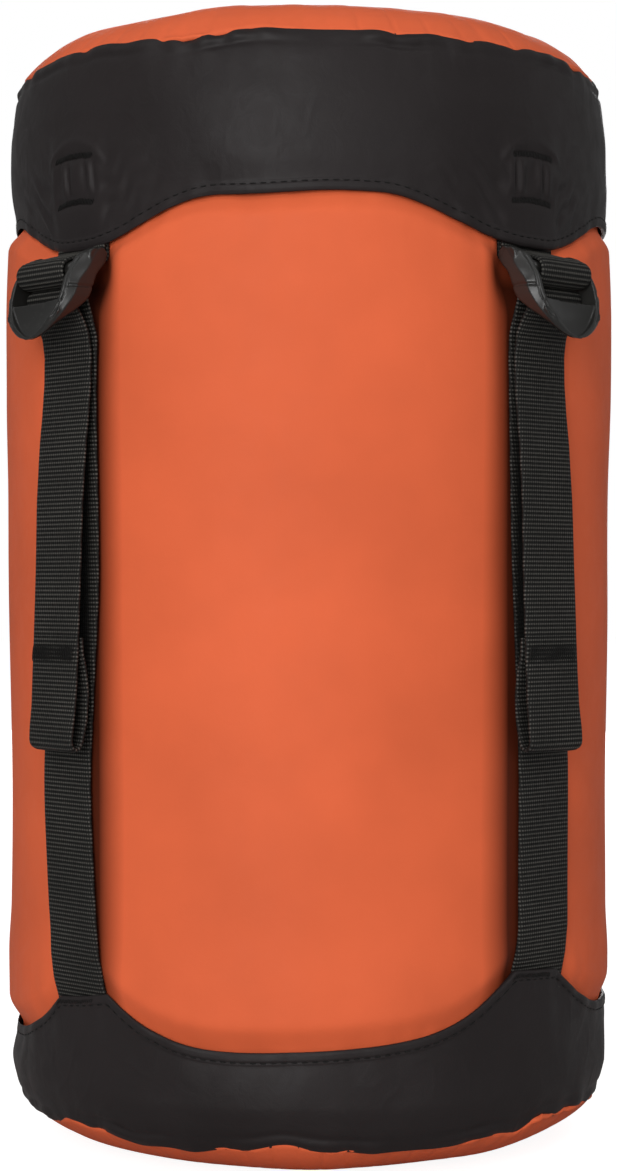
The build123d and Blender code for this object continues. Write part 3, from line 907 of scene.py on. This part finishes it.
def drawcord():
    """Two strands from the channel through the lock to an overhand knot, with short ends."""
    knot_x = box_mm("drawcord")[1].x - 4.5
    z = CHANNEL_Z
    for i, side in enumerate((1, -1)):
        strand = [(MOUTH_R - 1.5, side * 7.2, z), (MOUTH_R + 2.5, side * 4.2, z)]
        strand += [(MOUTH_R + 6, side * 2.0, z), (knot_x - 3, side * 2.0, z)]
        cord(f"drawcord_strand_{i + 1}", strand, 1.45, *["drawcord"][i:])
    knot = []
    for t in np.linspace(0, 2 * math.pi, 90):
        x = knot_x + 1.9 * math.sin(t) + 0.4 * math.sin(2 * t)
        y = 2.3 * math.cos(2 * t) + 0.5 * math.sin(t)
        knot.append((x, y, z + 1.6 * math.sin(3 * t) + 0.5 * math.cos(t)))
    cord("drawcord_knot", knot, 1.5)
    first_end = [(knot_x + 1, -1.5, z), (knot_x + 4, -2.4, z - 0.6), (knot_x + 7, -3.8, z - 2.2)]
    cord("drawcord_end_1", first_end, 1.4)
    second_end = [(knot_x + 1, 1.5, z), (knot_x + 4, 2.6, z - 0.4), (knot_x + 6.4, 4.6, z - 2.0)]
    cord("drawcord_end_2", second_end, 1.4)


def lock_spring():
    """The steel spring, a copy of the frame's coil."""
    source = frame["nodes"]["cord_lock_spring"]
    piece = in_scene("cord_lock_coil", source.data.copy())
    piece.matrix_world = source.matrix_world.copy()
    coat(piece, MAT["steel"])
    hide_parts("cord_lock_spring")
    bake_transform(piece)


# --- Straps ---
LOOP_WRAP = TOP_BAR_R + 0.4 + WEB_THICK / 2
GRIP_WRAP = GRIP_BAR_R + 0.1 + WEB_THICK / 2
RUN_R = GROOVE_R + 0.45 + WEB_THICK / 2
FOOT_R = 85.4
UPPER_JOIN = 190.0      # where the strap's run ends and its top length begins
WRAP_JOIN = 227.0       # where the strap starts to follow the buckle
BASE_TURN = 1.6         # degrees by which the filled sack's base is twisted from its lid

# Sideways drift in mm of each strap's run, by height; it is nothing where the strap meets the buckle.
RUN_DRIFT = {
    "front_left": [
        (40, 1.2), (52, 0.8), (79, -1.5), (106, -3.0), (130, -1.6), (164, 0.5), (214, -0.6), (226, 0),
    ],
    "front_right": [
        (40, 3.4), (52, 4.0), (75, 4.0), (106, 4.2), (140, 2.8), (172, 1.2), (205, 0.4), (226, 0),
    ],
    "back_right": [(40, 2.2), (75, 1.4), (120, -0.6), (170, 0.5), (205, 0.4), (226, 0)],
    "back_left": [(40, 2.2), (75, 1.0), (110, 0.6), (160, -0.8), (205, -0.3), (226, 0)],
}

# How far each buckle hangs askew: rise in mm per mm of width, round the sack.
BUCKLE_LEAN = {"front_left": 0.035, "front_right": -0.035, "back_right": 0.02, "back_left": -0.03}


def strap_path(hem):
    """The whole strap, given the height of the base hem over it.

    It goes up from under the base band, over the grip bar and down as the tail.
    """
    turn_in = (RUN_R + 1.6, 231.5)
    turn_out = (93.2, 231.0)
    entering = tangent_point(turn_in, GRIP, GRIP_WRAP, 1)
    leaving = tangent_point(turn_out, GRIP, GRIP_WRAP, -1)
    whole = [
        (FOOT_R, 32), (FOOT_R, hem - 3), (RUN_R - 1.0, hem + 4), (RUN_R, hem + 11),
        (RUN_R, 222), (RUN_R + 0.3, 227), turn_in, entering,
    ]
    whole += arc_points(GRIP, GRIP_WRAP, angle_round(GRIP, entering), angle_round(GRIP, leaving))
    whole += [
        leaving, turn_out, (91.3, 227), (90.6, 222), (90.7, 214.5), (91.4, 206), (92.3, 198), (93.4, 182),
        (93.9, 164), (94.6, TAIL_END),
    ]
    return smoothed(whole, RIB_STEP)


def strap_cuts(path):
    """Where the strap is cut into pieces, as (first row, last row) of its path."""
    top = int(np.argmax(path[:, 1]))
    up, down = path[:top, 1], path[top:, 1]
    join = int(np.argmax(up >= UPPER_JOIN))
    bend = int(np.argmax(up >= WRAP_JOIN))
    back = top + int(np.argmax(down <= WRAP_JOIN))
    return [(0, join), (join, bend), (bend, back), (back, len(path) - 1)]


def tail_twist(z):
    """The loose end's face turns a little as it hangs, in mm of radius per mm of width."""
    return 0.03 * smooth((205 - z) / 55) + 0.03 * smooth((138 - z) / 24)


def pull_loop_path():
    """On down from the tail, round the fold at the bottom and up behind, to the tack."""
    bottom = LOOP_BOTTOM + WEB_THICK / 2
    return [
        (94.6, TAIL_END), (94.9, 139), (95.5, 127), (96.3, bottom + 5.5), (96.5, bottom + 1.6),
        (95.5, bottom + 0.1), (93.9, bottom + 0.2), (92.9, bottom + 2.0), (91.6, 123), (91.1, 130),
        (91.9, 137), (93.1, 141.5), (93.2, TAIL_END - 0.6),
    ]


def buckle_loop_path():
    """Both layers inside the skirt, round the buckle's top bar."""
    inner, outer = 84.45, 85.85
    inner_turn, outer_turn = (inner, LID_PEAK - 3.0), (outer, LID_PEAK - 1.0)
    under = tangent_point(inner_turn, BAR, LOOP_WRAP, -1)
    over = tangent_point(outer_turn, BAR, LOOP_WRAP, 1)
    start, end = angle_round(BAR, under), angle_round(BAR, over)
    return (
        [(inner, 289), inner_turn, under]
        + arc_points(BAR, LOOP_WRAP, start, end, 20)
        + [over, outer_turn, (outer, 289)]
    )


def bar_tack(name, azimuth, radius, height, width, tall, body, *nodes, pitch=0.6, thick=0.15):
    """A dense zigzag of thread across the strap.

    radius(t, z) is the surface it lies on, and height(t) the height of its middle at t across the strap.
    """
    lean = 0.3
    draw = random.Random(int(azimuth * 10 + height(0)))
    starts, ends = [], []
    for i in range(int(width / pitch)):
        t = -width / 2 + (i + 0.5) * pitch
        middle = height(t) + draw.uniform(-0.12, 0.12)
        for points, side in ((starts, -1), (ends, 1)):
            z = middle + side * tall / 2
            points.append(upright_point(azimuth, radius(t, z), t + side * lean, z) / MM)
    outwards = [upright_point(azimuth, 1, 0, 0)] * len(starts)
    place(threads(name, starts, ends, outwards, radius=thick, rise=thick), body, *nodes)


RAIL_INNER, RAIL_OUTER = 10.7, 14.0


def lip_reach(z):
    """Half width of the buckle's rounded lower end at a height."""
    return float(curve([
        (225.5, 0.5), (225.9, 3.0), (226.6, 5.3), (227.8, 7.4), (229.2, 9.2), (231, 10.9), (233, 12.3),
        (235, 13.3), (237, 13.9), (239, RAIL_OUTER),
    ], z))


def rail_slice(z):
    """One level slice of a buckle's side rail, as (r, t) points.

    The rail has a raised inner rim, a groove beside it, a sloped panel with a notch, and a flat side.
    """
    back = float(curve([
        (225.8, 103.2), (228.3, 101.6), (230.3, 99.9), (233.1, 96.6), (236, 93.9), (242.3, 91.4),
        (246.5, 88.2), (248.4, 88.0), (249.8, 89.4),
    ], z))
    rim = float(curve([
        (225.8, 104.0), (229.7, 103.6), (232.7, 102.8), (235.5, 102.0), (238.5, 101.2), (241.4, 100.3),
        (244, 98.9), (246.3, 97.2), (247.8, 95.6), (249, 93.6), (249.8, 91.6),
    ], z))
    facet = min(rim - 0.5, float(curve([
        (225.8, 103.4), (229.5, 102.4), (233.7, 100.6), (237.1, 99.0), (240.1, 97.8), (243.7, 94.7),
        (248, 92.0), (249.8, 90.4),
    ], z)))
    back = min(back, facet - 0.4)
    grooved = float(smooth(np.array((z - 229.5) / 2.5)) * smooth(np.array((248.2 - z) / 1.5)))
    floor = rim - 1.1 * grooved
    notch = 0.75 * float(bell(z - 238.9, 0.42, 4)) * grooved
    panel = rim - 0.35 * grooved - notch
    side = RAIL_OUTER - notch * 0.5
    slid = max(RAIL_OUTER - lip_reach(z), 0)
    outline = [
        (back, RAIL_INNER), (rim - 0.15, RAIL_INNER), (rim, RAIL_INNER + 0.2), (rim, 11.75), (floor, 11.95),
        (floor, 12.35), (panel, 12.55), (facet - notch * 0.5, side), (back + 0.5, side), (back, side - 0.4),
    ]
    return [(r, t - slid) for r, t in outline]


def buckle_rail(side):
    """A side rail built up from its slices, on one side of the strap."""
    levels = np.arange(225.6, 249.81, 0.2)
    rows = [rail_slice(z) for z in levels]
    points = [(r, t * side, z) for row, z in zip(rows, levels) for r, t in row]
    return points, tube_faces(len(levels), len(rows[0]))


def cylinder(centre, radius, t0, t1):
    """A bar across the strap, from t0 to t1."""
    ring = arc_points(centre, radius, 0, 352.5, 48)
    n = len(ring)
    points = [(r, t, z) for t in (t0, t1) for r, z in ring]
    faces = [tuple(range(n)), tuple(range(2 * n - 1, n - 1, -1))]
    faces += [(i, i + n, (i + 1) % n + n, (i + 1) % n) for i in range(n)]
    return points, faces


def thumb_lip():
    """The scooped lip between the rails, with a round lower edge."""
    rows, columns = 40, 60
    across = np.linspace(-1, 1, columns)[None, :]
    s = np.linspace(0, 1, rows)[:, None]
    z = 235.9 - 0.5 * (1 - across**2) * (1 - s) - 10.3 * s
    reach = np.array([lip_reach(v) for v in z[:, 0]])[:, None]
    t = np.clip(across * (reach - 0.5), -11.3, 11.3)
    hollow = 1.7 * (1 - np.abs(across) ** 2.4) * np.sin(math.pi * np.clip(0.25 + 0.72 * s, 0, 1)) ** 0.9
    front = 102.0 + 1.9 * s - hollow
    back = front - 1.25 - 0.9 * (1 - s)
    n = rows * columns
    points = np.concatenate([np.stack([r, t, z], -1).reshape(-1, 3) for r in (front, back)])
    faces = list(grid_faces(rows, columns, False, False))
    faces += [f[::-1] + n for f in faces]
    rim = list(range(columns)) + [(k + 1) * columns + columns - 1 for k in range(rows - 1)]
    rim += [n - 2 - i for i in range(columns - 1)] + [(rows - 2 - k) * columns for k in range(rows - 2)]
    following = rim[1:] + rim[:1]
    faces += [(a, b, b + n, a + n) for a, b in zip(rim, following)]
    return points, faces


def buckle_template():
    """The ladder lock at azimuth 0, its solids fused into one moulding with soft edges."""
    parts = [buckle_rail(1), buckle_rail(-1), thumb_lip()]
    parts += [cylinder(BAR, TOP_BAR_R, -11, 11), cylinder(GRIP, GRIP_BAR_R, -11, 11)]
    parts += [cylinder((91.9, 247.3), 2.2, side * 11, side * 13.9) for side in (-1, 1)]
    pieces = []
    for points, faces in parts:
        pieces.append(face_outwards(make_mesh("buckle_part", np.array(points) * MM, faces)))
    bpy.ops.object.select_all(action="DESELECT")
    for piece in pieces:
        piece.select_set(True)
    bpy.context.view_layer.objects.active = pieces[0]
    bpy.ops.object.join()
    moulding = bpy.context.view_layer.objects.active
    remesh = moulding.modifiers.new("fuse", "REMESH")
    remesh.mode = "VOXEL"
    remesh.voxel_size = 0.24 * MM
    soften = moulding.modifiers.new("soften", "SMOOTH")
    soften.factor = 0.5
    soften.iterations = 2
    bpy.context.view_layer.update()
    evaluated = moulding.evaluated_get(bpy.context.evaluated_depsgraph_get())
    mesh = bpy.data.meshes.new_from_object(evaluated)
    bpy.data.objects.remove(moulding)
    mesh.polygons.foreach_set("use_smooth", [True] * len(mesh.polygons))
    return mesh


def sewn_surface(azimuth, profile, relief, lift):
    """Radius of a band's surface near a strap, as a function of t across the strap and height."""

    def surface(t, z):
        at = azimuth + math.degrees(t / SACK_R)
        return float(curve(profile, z) + relief(at, z)) * math.cos(t / SACK_R) + lift

    return surface


def strap_webbing(name, azimuth):
    """The strap in four lengths, and its pull loop."""
    path = strap_path(float(base_hem(azimuth)))
    tail_body = f"tail_{name}"
    panel_side = 1 if azimuth in (225, 45) else -1

    def drift(z):
        return curve(RUN_DRIFT[name], z)

    def foot_twist(z):
        return -0.06 * panel_side * smooth((66 - z) / 16)

    lengths = [
        ("strap_run", [f"strap_{name}"], ("base", "mouth"), (BASE_PEAK, UPPER_JOIN), drift, foot_twist),
        ("strap_top", [], ("mouth", "lid"), (UPPER_JOIN, WRAP_JOIN), drift, None),
        ("strap_wrap", [], ("lid", f"buckle_body_{name}"), (WRAP_JOIN, WRAP_JOIN + 9), None, None),
        ("tail", [f"strap_tail_{name}"], ("lid", tail_body), (WRAP_JOIN, TAIL_END), None, tail_twist),
    ]
    for (first, last), (kind, nodes, bodies, (low, high), sway, twist) in zip(strap_cuts(path), lengths):
        length = path[first : last + 1]
        piece = webbing(f"{kind}_{name}", length, azimuth, first * RIB_STEP, sway=sway, twist=twist)
        if nodes:
            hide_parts(*nodes)
        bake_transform(piece)
    fold = webbing(f"pull_fold_{name}", pull_loop_path(), azimuth, len(path) * RIB_STEP, twist=tail_twist)
    place(fold, tail_body, f"pull_loop_{name}")


def strap_tacks(name, azimuth):
    """The tack that closes the pull loop, and the two that hold the buckle's loop in the skirt."""

    def tail_face(t, z):
        return 95.05 + WEB_THICK / 2 + float(tail_twist(z)) * t

    def level(t):
        return PULL_TACK_Z

    bar_tack(
        f"pull_stitches_{name}", azimuth, tail_face, level, 19.2, 4.6, f"tail_{name}", f"pull_tack_{name}",
        pitch=0.8, thick=0.17,
    )
    skirt = sewn_surface(azimuth, SKIRT_PROFILE, skirt_relief, 0.1)
    for k, climb in enumerate(TACKS_UP):

        def sagging(t):
            return LID_PEAK + climb - 0.012 * t**2

        nodes = ["loop_tacks"] if name == "front_left" and k == 0 else []
        bar_tack(f"skirt_tack_{name}_{k + 1}", azimuth, skirt, sagging, 16.0, 1.8, "lid", *nodes)


def hung_buckle(name, azimuth, template):
    """A copy of the ladder lock, turned to its strap and hanging a little askew."""
    buckle = in_scene(f"ladder_lock_{name}", template.copy())
    r, t, z = np.array([v.co for v in buckle.data.vertices]).T / MM
    points = upright_point(azimuth, r, t, z + t * BUCKLE_LEAN[name])
    buckle.data.vertices.foreach_set("co", points.astype(np.float32).ravel())
    coat(buckle, MAT["acetal"])
    buckle.data.update()
    place(buckle, f"buckle_body_{name}", f"buckle_{name}", slot="acetal")


def straps():
    template = buckle_template()
    for name, azimuth in STRAP_AZIMUTHS.items():
        strap_webbing(name, azimuth)
        place(webbing(f"loop_{name}", buckle_loop_path(), azimuth), "lid", f"buckle_loop_{name}")
        hung_buckle(name, azimuth, template)
        strap_tacks(name, azimuth)


def base_details():
    """The handle under the base with its stitches, and the tacks at the straps' feet."""
    top = box_mm("base_handle")[1].z - 0.6
    path = [(x, top - sag) for x, sag in ((-40, 0), (-20, 0.9), (0, 1.2), (20, 0.9), (40, 0))]
    place(webbing("base_handle_webbing", path, 0, thick=1.1), "base", "base_handle")
    starts = [(x - 0.7, -8.4 + i * 0.58, 1.35) for x in (-38.5, -35.0, 35.0, 38.5) for i in range(30)]
    ends = [(x + 1.4, y + 0.3, z) for x, y, z in starts]
    down = [(0, 0, -1)] * len(starts)
    stitches = threads("base_handle_stitches", starts, ends, down, radius=0.22, rise=0.2)
    place(stitches, "base", "handle_tacks")
    for name, azimuth in STRAP_AZIMUTHS.items():

        def below_hem(t):
            return float(base_hem(azimuth + math.degrees(t / SACK_R))) - 1.5

        surface = sewn_surface(azimuth, BAND_PROFILE, band_relief, 0.52)
        nodes = ["anchor_tacks"] if name == "back_left" else []
        bar_tack(
            f"anchor_stitches_{name}", azimuth, surface, below_hem, 16.0, 1.3, "base", *nodes,
            pitch=0.7, thick=0.12,
        )


# --- Stage: floor, light and camera ---
CAMERA_AZIMUTH = 271.3


def backdrop():
    """Plain white behind the object, and a dim even light from all round."""
    world = bpy.data.worlds.new("studio")
    bpy.context.scene.world = world
    world.use_nodes = True
    tree = world.node_tree
    tree.nodes.clear()
    mix = tree.nodes.new("ShaderNodeMixShader")
    ray = tree.nodes.new("ShaderNodeLightPath")
    tree.links.new(ray.outputs["Is Camera Ray"], mix.inputs[0])
    for slot, strength in ((1, 0.24), (2, 1.0)):
        background = tree.nodes.new("ShaderNodeBackground")
        background.inputs[0].default_value = (1, 1, 1, 1)
        background.inputs[1].default_value = strength
        tree.links.new(background.outputs[0], mix.inputs[slot])
    tree.links.new(mix.outputs[0], tree.nodes.new("ShaderNodeOutputWorld").inputs[0])


def floor():
    """A wide grey floor that the camera sees nearly white."""
    corners = [(6.0 * x, 6.0 * y, -0.0003) for x, y in ((-1, -1), (1, -1), (1, 1), (-1, 1))]
    n = Nodes("floor")
    seen = n.add("ShaderNodeLightPath").outputs["Is Camera Ray"]
    n.surface(Base_Color=(0.5, 0.5, 0.5, 1), Roughness=1.0, Specular_IOR_Level=0.0)
    n.surface(Emission_Color=(1, 1, 1, 1), Emission_Strength=n.times(seen, 0.9))
    make_mesh("floor", corners, [(0, 1, 2, 3)], n.material)


def area_light(name, at, width, height, power):
    """A rectangular lamp aimed at the middle of the sack."""
    light = bpy.data.lights.new(name, "AREA")
    light.shape = "RECTANGLE"
    light.size, light.size_y = width, height
    light.energy = power
    lamp = in_scene(name, light)
    lamp.location = at
    lamp.rotation_mode = "QUATERNION"
    lamp.rotation_quaternion = (Vector((0, 0, HEIGHT * MM / 2)) - Vector(at)).to_track_quat("-Z", "Y")


def stage():
    backdrop()
    floor()
    area_light("key", (-0.42, -1.7, 0.40), 0.9, 1.3, 21)
    area_light("fill", (0.85, -1.45, 0.30), 0.35, 0.9, 2.8)
    area_light("high_left", (-0.80, -0.72, 1.40), 0.5, 0.5, 2.2)
    area_light("high_right", (0.76, -0.85, 1.40), 0.5, 0.5, 2.2)
    area_light("back", (0.0, 1.75, 0.60), 1.0, 1.2, 15)
    area_light("side", (1.9, 0.5, 0.5), 0.8, 1.2, 1.0)

    camera = bpy.data.cameras.new("camera")
    camera.lens = 72.5
    camera.sensor_width = 36.0
    eye = in_scene("camera", camera)
    turn = math.radians(CAMERA_AZIMUTH)
    reach = 8 * SACK_R * MM
    eye.location = (reach * math.cos(turn), reach * math.sin(turn), HEIGHT * MM / 2 - 0.001)
    eye.rotation_euler = (math.radians(90), 0, turn + math.radians(90))
    bpy.context.scene.camera = eye
    bpy.context.scene.view_settings.view_transform = "Standard"


bands()
body_tube()
discs()
cord_channel()
drawcord()
for node in ("cord_lock_body", "cord_lock_plunger"):
    coat(frame["nodes"][node], MAT["acetal"])
lock_spring()
straps()
base_details()
stage()
